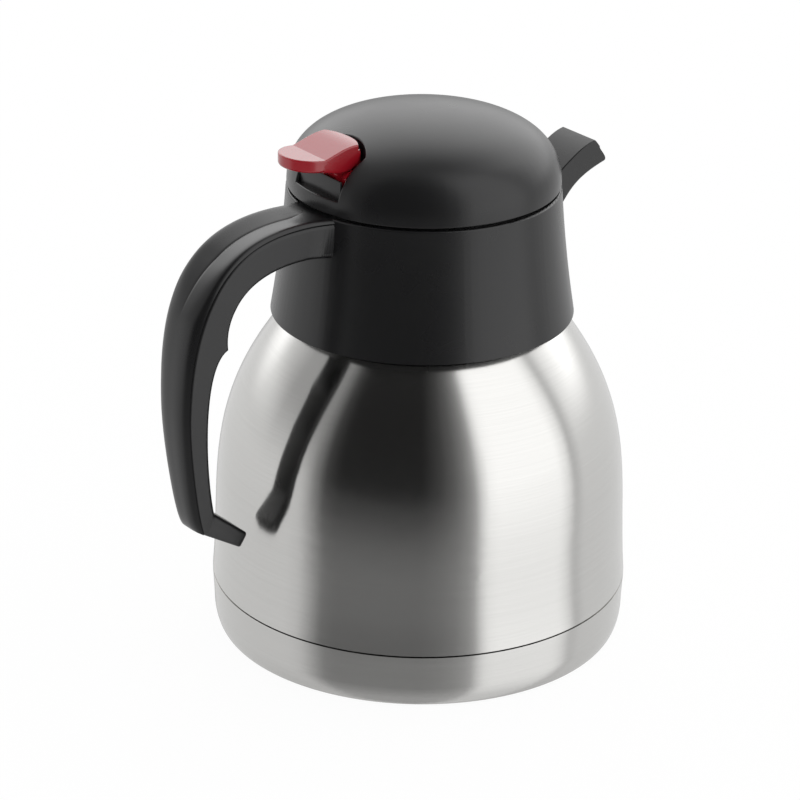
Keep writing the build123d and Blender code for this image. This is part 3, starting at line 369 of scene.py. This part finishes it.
# Below this height the crease's directions turn until they follow the sole's line.
FAN_HEIGHT = 76.0
STATION_GAP = 1.5
ROOT_GAP = 0.25
FAN_GAP = 1.2
ROOT_OUT = 51.0

# Half the handle's width: its middle part, the taper below it, and the flare into the collar.
MIDDLE_HALF = 10.5
TAPER_TOP, TAPER_RUN, TAPER = 149.0, 92.0, 4.0
FLARE_OUT, FLARE_RUN, FLARE = 56.5, 8.5, 1.5

# The collar's outside, and how far out the handle starts to follow its round.
COLLAR_TOP, COLLAR_FOOT = 167.0, 121.0
COLLAR_RADIUS, COLLAR_SPREAD, COLLAR_WAIST = 48.1, 5.5, 2.4
FOLLOW_OUT, FOLLOW_RUN = 61.0, 12.5


def collar_radius(height):
    """Outside of the collar at a height."""
    share = (COLLAR_TOP - height) / (COLLAR_TOP - COLLAR_FOOT)
    return COLLAR_RADIUS + COLLAR_SPREAD * share - COLLAR_WAIST * share * (1 - share)


def half_width(place):
    """Half the handle's width at a place."""
    out, height = place
    if out < FLARE_OUT:
        return MIDDLE_HALF + FLARE * ((FLARE_OUT - out) / FLARE_RUN) ** 2
    return MIDDLE_HALF - TAPER * max(TAPER_TOP - height, 0.0) / TAPER_RUN


def placed(origin, along, section):
    """A section's ring on the handle's upright plane, drawn close to the collar at the root."""
    ring = []
    for across, depth in mirrored(section):
        out, height = origin + along * depth
        near = eased((FOLLOW_OUT - out) / FOLLOW_RUN)
        out += near * (math.sqrt(collar_radius(height) ** 2 - across**2) - COLLAR_RADIUS)
        ring.append(Vector((-out, across, height)) * MM)
    return ring


def crease_line():
    """Places along the crease between strip and grip, each with its outward direction."""
    back = traced(BACK)
    creases = []
    for index, place in enumerate(back):
        run = back[min(index + 1, len(back) - 1)] - back[max(index - 1, 0)]
        outward = Vector((-run[1], run[0])).normalized()
        creases.append((place - CREASE_DEPTH * outward, outward))
    missed = HEEL - creases[-1][0]
    fanned = []
    for place, outward in creases:
        share = held((FAN_HEIGHT - place[1]) / (FAN_HEIGHT - HEEL[1]))
        turned = outward.lerp(SOLE_LINE, share**2).normalized()
        fanned.append((place + missed * share**2, turned))
    return fanned


def stations():
    """Evenly spaced places of the crease line with their directions, closer at the root."""
    line = crease_line()
    root = [place for place, outward in line if place[0] < ROOT_OUT]
    rest = [place for place, outward in line if place[0] >= ROOT_OUT]
    found = []
    for place in evenly(root, ROOT_GAP) + evenly(rest, STATION_GAP):
        nearest = min(line, key=lambda one: (one[0] - place).length)
        found.append((place, nearest[1]))
    return found


# ---- the grip ----
# How far the grip's face stands over its line, to make up for its rounded edges.
FACE_EXTRA = 0.75
# How far the grip's rims stay below the crease, and the groove between them for the strip.
CREASE_GAP = 0.08
GROOVE, GROOVE_EDGE, GROOVE_FOOT = 1.3, 3.0, 3.1
# How the bar's edges are rolled: along its face, and along its rims, which roll more higher up.
FACE_ROLL, RIM_ROLL = 1.5, 0.6
RIM_ROLL_MORE, RIM_ROLL_LOW, RIM_ROLL_RUN = 0.9, 100.0, 40.0
ROLL_STEPS = 6
# A flat beside each roll, so that it shades as a roll and not as a bulge.
BRACE = 0.25
# The toe's half width and rolls, and the shares of its length at which it has a ring.
TOE_HALF, TOE_GROOVE = 6.6, 0.02
TOE_TOP_ROLL, TOE_SOLE_ROLL, TOE_ROLL_LOSS = 1.4, 1.1, 0.3
TOE_SHARES = (0.03, 0.08, 0.2, 0.4, 0.6)
# The toe's rounded tip: its length, half width at the end and fullness, how far its top and sole
# close in, and the distances from its end at which it has a ring.
TIP, TIP_HALF, TIP_FULLNESS, TIP_ROLL = 3.2, 3.4, 2.6, 0.7
TIP_PINCH, TIP_PINCH_RUN, TIP_LIFT, TIP_LIFT_RUN = 2.0, 2.2, 0.7, 1.0
TIP_ENDS = (2.5, 1.8, 1.2, 0.7, 0.35, 0.12, 0.0)


def quarter(start, side, middle, roll):
    """Places round a quarter of a circle, from an angle on."""
    angles = [math.radians(start + 90 * step / ROLL_STEPS) for step in range(ROLL_STEPS + 1)]
    return [(side + roll * math.cos(angle), middle + roll * math.sin(angle)) for angle in angles]


def rounded_section(half, low, high, low_roll, high_roll, groove):
    """Right half of a rounded bar's section as (across, along) places."""
    floor = high - groove
    return [
        (0.0, low), (half * 0.5, low), (half - low_roll - BRACE, low),
        *quarter(-90, half - low_roll, low + low_roll, low_roll),
        (half, low + low_roll + BRACE), (half, high - high_roll - BRACE),
        *quarter(0, half - high_roll, high - high_roll, high_roll),
        (half - high_roll - BRACE, high), (half - GROOVE_EDGE, high),
        (half - GROOVE_FOOT, floor), (half * 0.4, floor), (0.0, floor),
    ]


def facing(place, outward, face, first):
    """Index of the grip face's place that a crease place looks at, from a first index on."""
    def slant(index):
        gap = face[index] - place
        return outward[0] * gap[1] - outward[1] * gap[0]
    index = first
    while index < len(face) - 1 and slant(index) > 0:
        index += 1
    return index


def grip_pairs():
    """Places of the crease, each with the place of the grip's face that it looks at."""
    face = traced(FACE)
    cusp = TRACE_STEPS
    pairs = []
    at = 0
    for place, outward in stations():
        if place[1] < FAN_HEIGHT:
            break
        reached = facing(place, outward, face, at)
        if at < cusp < reached:
            share = (cusp - at) / (reached - at)
            pairs.append((pairs[-1][0].lerp(place, share), face[cusp]))
        at = reached
        pairs.append((place, face[at]))
    fan = evenly([place for place, outward in crease_line() if place[1] < pairs[-1][0][1]], FAN_GAP)
    for index, place in enumerate(fan[1:], 1):
        share = index / (len(fan) - 1)
        pairs.append((place, face[round(at + (len(face) - 1 - at) * share)]))
    return pairs


def toe_ring(corner, share, half, roll, pinch=0.0, lift=0.0):
    """A ring of the toe between its top, pinched in, and its sole, lifted up."""
    top = corner.lerp(TOE_TOP, share)
    along = HEEL.lerp(TOE_SOLE, share) - top
    section = rounded_section(
        half, pinch, along.length - lift, TOE_TOP_ROLL * roll, TOE_SOLE_ROLL * roll, TOE_GROOVE,
    )
    return placed(top, along.normalized(), section)


def grip_mesh():
    """The grip: a rounded bar from the root to the heel, and the toe that turns inward from it."""
    pairs = grip_pairs()
    rings = []
    for crease, inner in pairs:
        along = crease - inner
        depth = along.length + FACE_EXTRA - CREASE_GAP
        roll = RIM_ROLL + RIM_ROLL_MORE * held((crease[1] - RIM_ROLL_LOW) / RIM_ROLL_RUN)
        start = inner - along.normalized() * FACE_EXTRA
        section = rounded_section(half_width(crease), 0.0, depth, FACE_ROLL, roll, GROOVE)
        rings.append(placed(start, along.normalized(), section))
    heel, inner = pairs[-1]
    corner = inner - (heel - inner).normalized() * FACE_EXTRA
    run = (TOE_TOP - corner).length
    for share in (*TOE_SHARES, 1 - TIP / run):
        rings.append(toe_ring(corner, share, TOE_HALF, 1 - TOE_ROLL_LOSS * share))
    for end in TIP_ENDS:
        gone = ((TIP - end) / TIP) ** TIP_FULLNESS
        half = max(TOE_HALF * (1 - gone) ** (1 / TIP_FULLNESS), TIP_HALF)
        pinch = TIP_PINCH * max(0.0, 1 - end / TIP_PINCH_RUN) ** 2
        lift = TIP_LIFT * max(0.0, 1 - end / TIP_LIFT_RUN) ** 2
        rings.append(toe_ring(corner, 1 - end / run, half, TIP_ROLL, pinch, lift))
    return skinned("grip", rings)


# ---- the strip over the grip's back ----
# Half the strip's section at the top as (share of half the width, height): a shallow dish with
# a fine valley line along its middle and a rolled lip.
DISH = (
    (0.0, -0.5), (0.012, -0.48), (0.03, -0.38), (0.1, -0.27), (0.2, -0.13), (0.35, 0.09),
    (0.5, 0.31), (0.65, 0.53), (0.78, 0.71), (0.86, 0.8), (0.91, 0.82), (0.945, 0.74),
    (0.97, 0.55), (0.985, 0.32), (0.997, 0.06),
)
DISH_LOW, DISH_RUN = 140.0, 18.0
# Lower down the strip is crowned, and over the root it is flat.
CROWN, CROWN_POWER = 2.3, 3.8
ROOT_HIGH, ROOT_FROM, ROOT_RUN = 1.45, 58.0, 9.0
LIP_POWER = 14
# How much higher the strip stands at some heights, as (height, rise).
SWELL = (
    (0.0, 0.0), (118.0, 0.1), (130.0, 0.4), (142.0, 0.8), (152.0, 1.0), (160.0, 0.9),
    (165.0, 0.7), (170.0, 0.7),
)
# The strip's tongue in the groove, and its rim on the crease, as (inset from the side, height).
TONGUE = (3.4, 0.2 - GROOVE)
RIM = ((3.2, -0.06), (1.0, -0.06), (0.3, -0.03))


def swell(height):
    """The strip's extra height at a height."""
    for (low, first), (high, second) in zip(SWELL, SWELL[1:]):
        if height <= high:
            return first + (second - first) * (height - low) / (high - low)
    return SWELL[-1][1]


def strip_section(half, dishing, extra, rooted):
    """Right half of the back strip's section over the crease."""
    inset, floor = TONGUE
    places = [(0.0, floor), (half - inset, floor)]
    places += [(half - inset, height) for inset, height in RIM]
    for share, dished in reversed(DISH):
        lip = 1 - share**LIP_POWER
        crowned = CROWN * (1 - share**CROWN_POWER)
        high = crowned + (dished - crowned) * dishing + extra * lip
        places.append((half * share, high + (ROOT_HIGH * lip - high) * rooted))
    return places


def strip_mesh():
    """The strip, from the root over the handle's bend to the heel."""
    rings = []
    for place, outward in stations():
        dishing = held((place[1] - DISH_LOW) / DISH_RUN)
        rooted = eased((ROOT_FROM - place[0]) / ROOT_RUN)
        section = strip_section(half_width(place), dishing, swell(place[1]), rooted)
        rings.append(placed(place, outward, section))
    return skinned("back_strip", rings)


piece("grip", grip_mesh(), "black_plastic", "carafe", "handle")
piece("back_strip", strip_mesh(), "black_plastic", "carafe", "handle_back")


# ---- the thumb lever and its pocket ----
PIN_OUT, PIN_HEIGHT = 37.0, 178.0
# Outlines seen from the side as (distance out from the pin, height over the pin), in mm.
FLANK = (
    (12.6, 5.5), (8.6, 4.5), (4.8, 3.9), (1.6, 4.2), (-0.6, 5.2), (-2.1, 6.6), (-2.6, 8.4),
    (-2.2, 10.6), (-1.0, 11.2), (2.6, 10.8), (7.2, 9.6), (12.6, 8.4),
)
FLANK_HALF, FLANK_ROUNDED, FLANK_ROLL = 9.93, 7, 1.0
# A wall of the lid stands in front of the lever's keel and closes the pocket under the lever.
WALL = ((6.5, -4.72), (6.5, 1.3), (6.7, 1.75), (7.1, 1.75), (7.3, 1.3), (7.3, -4.72))
WALL_HALF, WALL_ROUNDED, WALL_ROLL = 11.7, 6, 0.15
# The keel's sides, and where its front corners go when it is cut back behind the flanks.
KEEL_HALF, KEEL_OUT, KEEL_TOP, KEEL_MIDDLE = 7.4, 5.8, 6.3, 4.0
CUT_LOW, CUT_HIGH = (5.6, 3.0), (6.4, 6.46)


def slab(name, outline, half, rounded, roll):
    """A slab across the lever's pocket, its sides' edges rounded along its first places."""
    shell = bmesh.new()
    rows = [
        [
            shell.verts.new(Vector((-PIN_OUT - out, side, PIN_HEIGHT + rise)) * MM)
            for out, rise in outline
        ]
        for side in (-half, half)
    ]
    shell.faces.new(rows[0])
    shell.faces.new(rows[1][::-1])
    for index in range(len(outline)):
        after = (index + 1) % len(outline)
        shell.faces.new((rows[0][after], rows[0][index], rows[1][index], rows[1][after]))
    bmesh.ops.recalc_face_normals(shell, faces=shell.faces)
    for row in rows:
        chosen = set(row[:rounded])
        edges = [edge for edge in shell.edges if set(edge.verts) <= chosen]
        bmesh.ops.bevel(
            shell, geom=edges, offset=roll * MM, segments=6, profile=0.5, affect="EDGES",
        )
    mesh = bpy.data.meshes.new(name)
    shell.to_mesh(mesh)
    shell.free()
    return shaded(mesh)


def thumb_lever():
    """The lever's own body with its keel cut back behind the flanks."""
    mesh = frame["nodes"]["lever"].data.copy()
    for vertex in mesh.vertices:
        out = -vertex.co.x / MM - PIN_OUT
        rise = vertex.co.z / MM - PIN_HEIGHT
        on_side = abs(abs(vertex.co.y) / MM - KEEL_HALF) < 0.1
        if on_side and out > KEEL_OUT and rise < KEEL_TOP:
            out, rise = CUT_LOW if rise < KEEL_MIDDLE else CUT_HIGH
            vertex.co.x = -(PIN_OUT + out) * MM
            vertex.co.z = (PIN_HEIGHT + rise) * MM
    return mesh


flanks = slab("lever_flank", FLANK, FLANK_HALF, FLANK_ROUNDED, FLANK_ROLL)
wall = slab("pocket_wall", WALL, WALL_HALF, WALL_ROUNDED, WALL_ROLL)
piece("thumb_lever", thumb_lever(), "red_plastic", "lever", "lever")
piece("lever_flank", flanks, "red_plastic", "lever")
piece("pocket_wall", wall, "black_plastic", "lid")


# ---- the collar, with the lip under its foot drawn up out of sight ----
LIP_RADIUS = 50.0
LIP_KEPT = 0.12

collar_shape = frame["nodes"]["collar"].data.copy()
for vertex in collar_shape.vertices:
    below = COLLAR_FOOT - vertex.co.z / MM
    if below > 0.05 and math.hypot(vertex.co.x, vertex.co.y) / MM > LIP_RADIUS:
        vertex.co.z = (COLLAR_FOOT - LIP_KEPT * below) * MM
piece("neck_collar", collar_shape, "black_plastic", "carafe", "collar")


# ---- the closing spring, which rides with the valve ----
SPRING = {
    "Turns": 6.0, "Coil Radius": 6.3 * MM, "Rise": 21.3 * MM, "Wire Radius": 0.6 * MM,
    "Foot": 136.0 * MM, "Places per Turn": 96, "Wire Sides": 24,
}


def wound(name, sizes, finish):
    """A round wire wound up a screw line about the axis, as a plain mesh."""
    tree = bpy.data.node_groups.new(name, "GeometryNodeTree")
    identifiers = {}
    for size, value in sizes.items():
        kind = "NodeSocketInt" if isinstance(value, int) else "NodeSocketFloat"
        socket = tree.interface.new_socket(size, in_out="INPUT", socket_type=kind)
        identifiers[size] = socket.identifier
    tree.interface.new_socket("Geometry", in_out="OUTPUT", socket_type="NodeSocketGeometry")
    nodes = Nodes(tree)
    given = nodes.outputs("NodeGroupInput")
    line = nodes.node(
        "GeometryNodeCurveSpiral", {}, Resolution=given["Places per Turn"],
        Rotations=given["Turns"], Start_Radius=given["Coil Radius"],
        End_Radius=given["Coil Radius"], Height=given["Rise"], Reverse=True,
    )
    ring = nodes.node(
        "GeometryNodeCurvePrimitiveCircle", {"mode": "RADIUS"}, Resolution=given["Wire Sides"],
        Radius=given["Wire Radius"],
    )
    wire = nodes.node(
        "GeometryNodeCurveToMesh", {}, Curve=line, Profile_Curve=ring, Fill_Caps=True,
    )
    foot = nodes.node("ShaderNodeCombineXYZ", {}, Z=given["Foot"])
    wire = nodes.node("GeometryNodeTransform", {}, Geometry=wire, Translation=foot)
    wire = nodes.node("GeometryNodeRealizeInstances", {}, wire)
    wire = nodes.node("GeometryNodeSetMaterial", {}, Geometry=wire, Material=FINISHES[finish])
    nodes.node("NodeGroupOutput", {}, wire)

    blank = bpy.data.objects.new(name, bpy.data.meshes.new(name))
    bpy.context.scene.collection.objects.link(blank)
    winding = blank.modifiers.new("winding", "NODES")
    winding.node_group = tree
    for size, value in sizes.items():
        winding[identifiers[size]] = value
    made = blank.evaluated_get(bpy.context.evaluated_depsgraph_get())
    mesh = bpy.data.meshes.new_from_object(made)
    blank.modifiers.remove(winding)
    bpy.data.objects.remove(blank)
    return shaded(mesh)


coil = wound("closing_spring", SPRING, "spring_steel")
spring = piece("closing_spring", coil, "spring_steel", "valve", "valve_spring")
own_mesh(spring)


# ---- the floor ----
FLOOR_HALF = 3.0
# The floor is mostly a white of its own, with a share of chalk that takes the shadow, and
# polished metal sees through most of it.
FLOOR_WHITE, FLOOR_CHALK = 1.06, 0.86
WHITE_SHARE, SEEN_THROUGH = 0.88, 0.9

corners = [(-1, -1), (1, -1), (1, 1), (-1, 1)]
flat = bpy.data.meshes.new("floor")
flat.from_pydata([(FLOOR_HALF * x, FLOOR_HALF * y, 0) for x, y in corners], [], [(0, 1, 2, 3)])
floor = bpy.data.objects.new("floor", flat)
bpy.context.scene.collection.objects.link(floor)
floor_paint, finish = material("floor_paint")
ray = finish.outputs("ShaderNodeLightPath")
white = finish.node("ShaderNodeEmission", {}, (1.0, 1.0, 1.0, 1.0), FLOOR_WHITE)
chalk = finish.node("ShaderNodeBsdfDiffuse", {}, (FLOOR_CHALK,) * 3 + (1.0,))
clear = finish.node("ShaderNodeBsdfTransparent", {})
lit = finish.node("ShaderNodeMixShader", {}, ray["Is Camera Ray"] * WHITE_SHARE, chalk, white)
paint = finish.node("ShaderNodeMixShader", {}, ray["Is Glossy Ray"] * SEEN_THROUGH, lit, clear)
finish.node("ShaderNodeOutputMaterial", {}, paint)
flat.materials.append(floor_paint)


# ---- the studio as polished metal sees it, by direction ----
# A dark side, a bright screen on its right and a white backdrop behind. DARK_SIDE is the way
# to the dark side's middle, in degrees about the upright axis, and each stop of WALLS is
# (degrees from there, level).
DARK_SIDE = -127.4
WALLS = (
    (-180, 0.5), (-170, 0.55), (-160, 0.87), (-78, 0.87), (-69, 0.76), (-61, 0.36), (-54, 0.06),
    (-46, 0.02), (2, 0.02), (12, 0.06), (20, 0.13), (27, 0.26), (31, 0.42), (35, 1.0),
    (39, 1.4), (45, 1.5), (84, 1.5), (91, 1.2), (96, 0.62), (104, 0.87), (165, 0.87),
    (174, 0.6), (180, 0.5),
)
BRIGHTEST = 1.6
# The backdrop sets in between two shares of a turn from there, and is brighter from a height on.
BEHIND, BEHIND_HEIGHTS, BEHIND_MORE = (0.27, 0.36), (0.0, 12.0), 1.15
# A shade on the left, between shares of a turn and higher up.
LEFT_START, LEFT_END = (-0.40, -0.33), (-0.20, -0.14)
LEFT_HEIGHTS, LEFT_SHADE = (-5.0, 20.0), 0.5
# Heights in degrees over which the walls turn into the ceiling, which starts later on the near
# side, and into the table.
CEILING_HEIGHTS, CEILING_LATER, CEILING_LEVEL = (42.0, 75.0), 18.0, 0.34
TABLE_HEIGHTS, TABLE_SHARE, TABLE_LEVEL = (-58.0, -8.0), 0.75, 0.6
# What isn't a mirror is lit at one plain level from all sides.
PLAIN_LIGHT = 0.65

world = bpy.data.worlds.new("studio")
bpy.context.scene.world = world
world.cycles.sampling_method = "NONE"
finish = Finish(world)
direction = finish.node("ShaderNodeTexCoord", {})
way = finish.outputs("ShaderNodeSeparateXYZ", direction)
turn = finish.worked("ARCTAN2", way["Y"], way["X"]) / (2 * math.pi) - DARK_SIDE / 360
turn = finish.worked("WRAP", turn, 0.5, -0.5)
height = finish.worked("ARCSINE", way["Z"]) * (180 / math.pi)
# The ramp's stops are all grey, so that it can be used in sums.
stops = [(degrees / 360 + 0.5, (level / BRIGHTEST,) * 3 + (1.0,)) for degrees, level in WALLS]
walls = finish.node("ShaderNodeValToRGB", {"stops": stops}, turn + 0.5) * BRIGHTEST
behind = finish.span(finish.worked("ABSOLUTE", turn), *BEHIND)
walls = walls + behind * finish.span(height, *BEHIND_HEIGHTS, 0.0, BEHIND_MORE)
left = finish.span(turn, *LEFT_START) * finish.span(turn, *LEFT_END, 1.0, 0.0)
walls = walls * (1 - left * finish.span(height, *LEFT_HEIGHTS, 0.0, LEFT_SHADE))
ceiling = finish.span(height - (1 - behind) * CEILING_LATER, *CEILING_HEIGHTS)
walls = walls * (1 - ceiling) + ceiling * CEILING_LEVEL
table = finish.span(height, *TABLE_HEIGHTS, TABLE_SHARE, 0.0)
walls = walls * (1 - table) + table * TABLE_LEVEL
ray = finish.outputs("ShaderNodeLightPath")
seen = finish.worked("MAXIMUM", ray["Is Camera Ray"], ray["Is Transmission Ray"])
mirror = ray["Is Glossy Ray"]
level = seen + (1 - seen) * (mirror * walls + (1 - mirror) * PLAIN_LIGHT)
sky = finish.node("ShaderNodeBackground", {}, (1.0, 1.0, 1.0, 1.0), level)
finish.node("ShaderNodeOutputWorld", {}, sky)


# ---- the camera ----
EYE = (-0.63867, -0.83575, 0.54836)
LOOK = (0.5506, 0.7307, -0.4037)
# How far the camera leans, in radians.
LEAN = -0.012813

eye = bpy.data.cameras.new("camera")
eye.sensor_width = 36.0
eye.lens = 144.43
eye.clip_end = 20.0
eye.shift_x = -0.00094
eye.shift_y = 0.0006
camera = bpy.data.objects.new("camera", eye)
bpy.context.scene.collection.objects.link(camera)
bpy.context.scene.camera = camera
forward = Vector(LOOK).normalized()
level_right = forward.cross(Vector((0, 0, 1))).normalized()
level_up = level_right.cross(forward)
right = math.cos(LEAN) * level_right - math.sin(LEAN) * level_up
up = math.sin(LEAN) * level_right + math.cos(LEAN) * level_up
turned = Matrix((right, up, -forward)).transposed()
camera.matrix_world = Matrix.Translation(EYE) @ turned.to_4x4()
bpy.context.scene.view_settings.view_transform = "Standard"
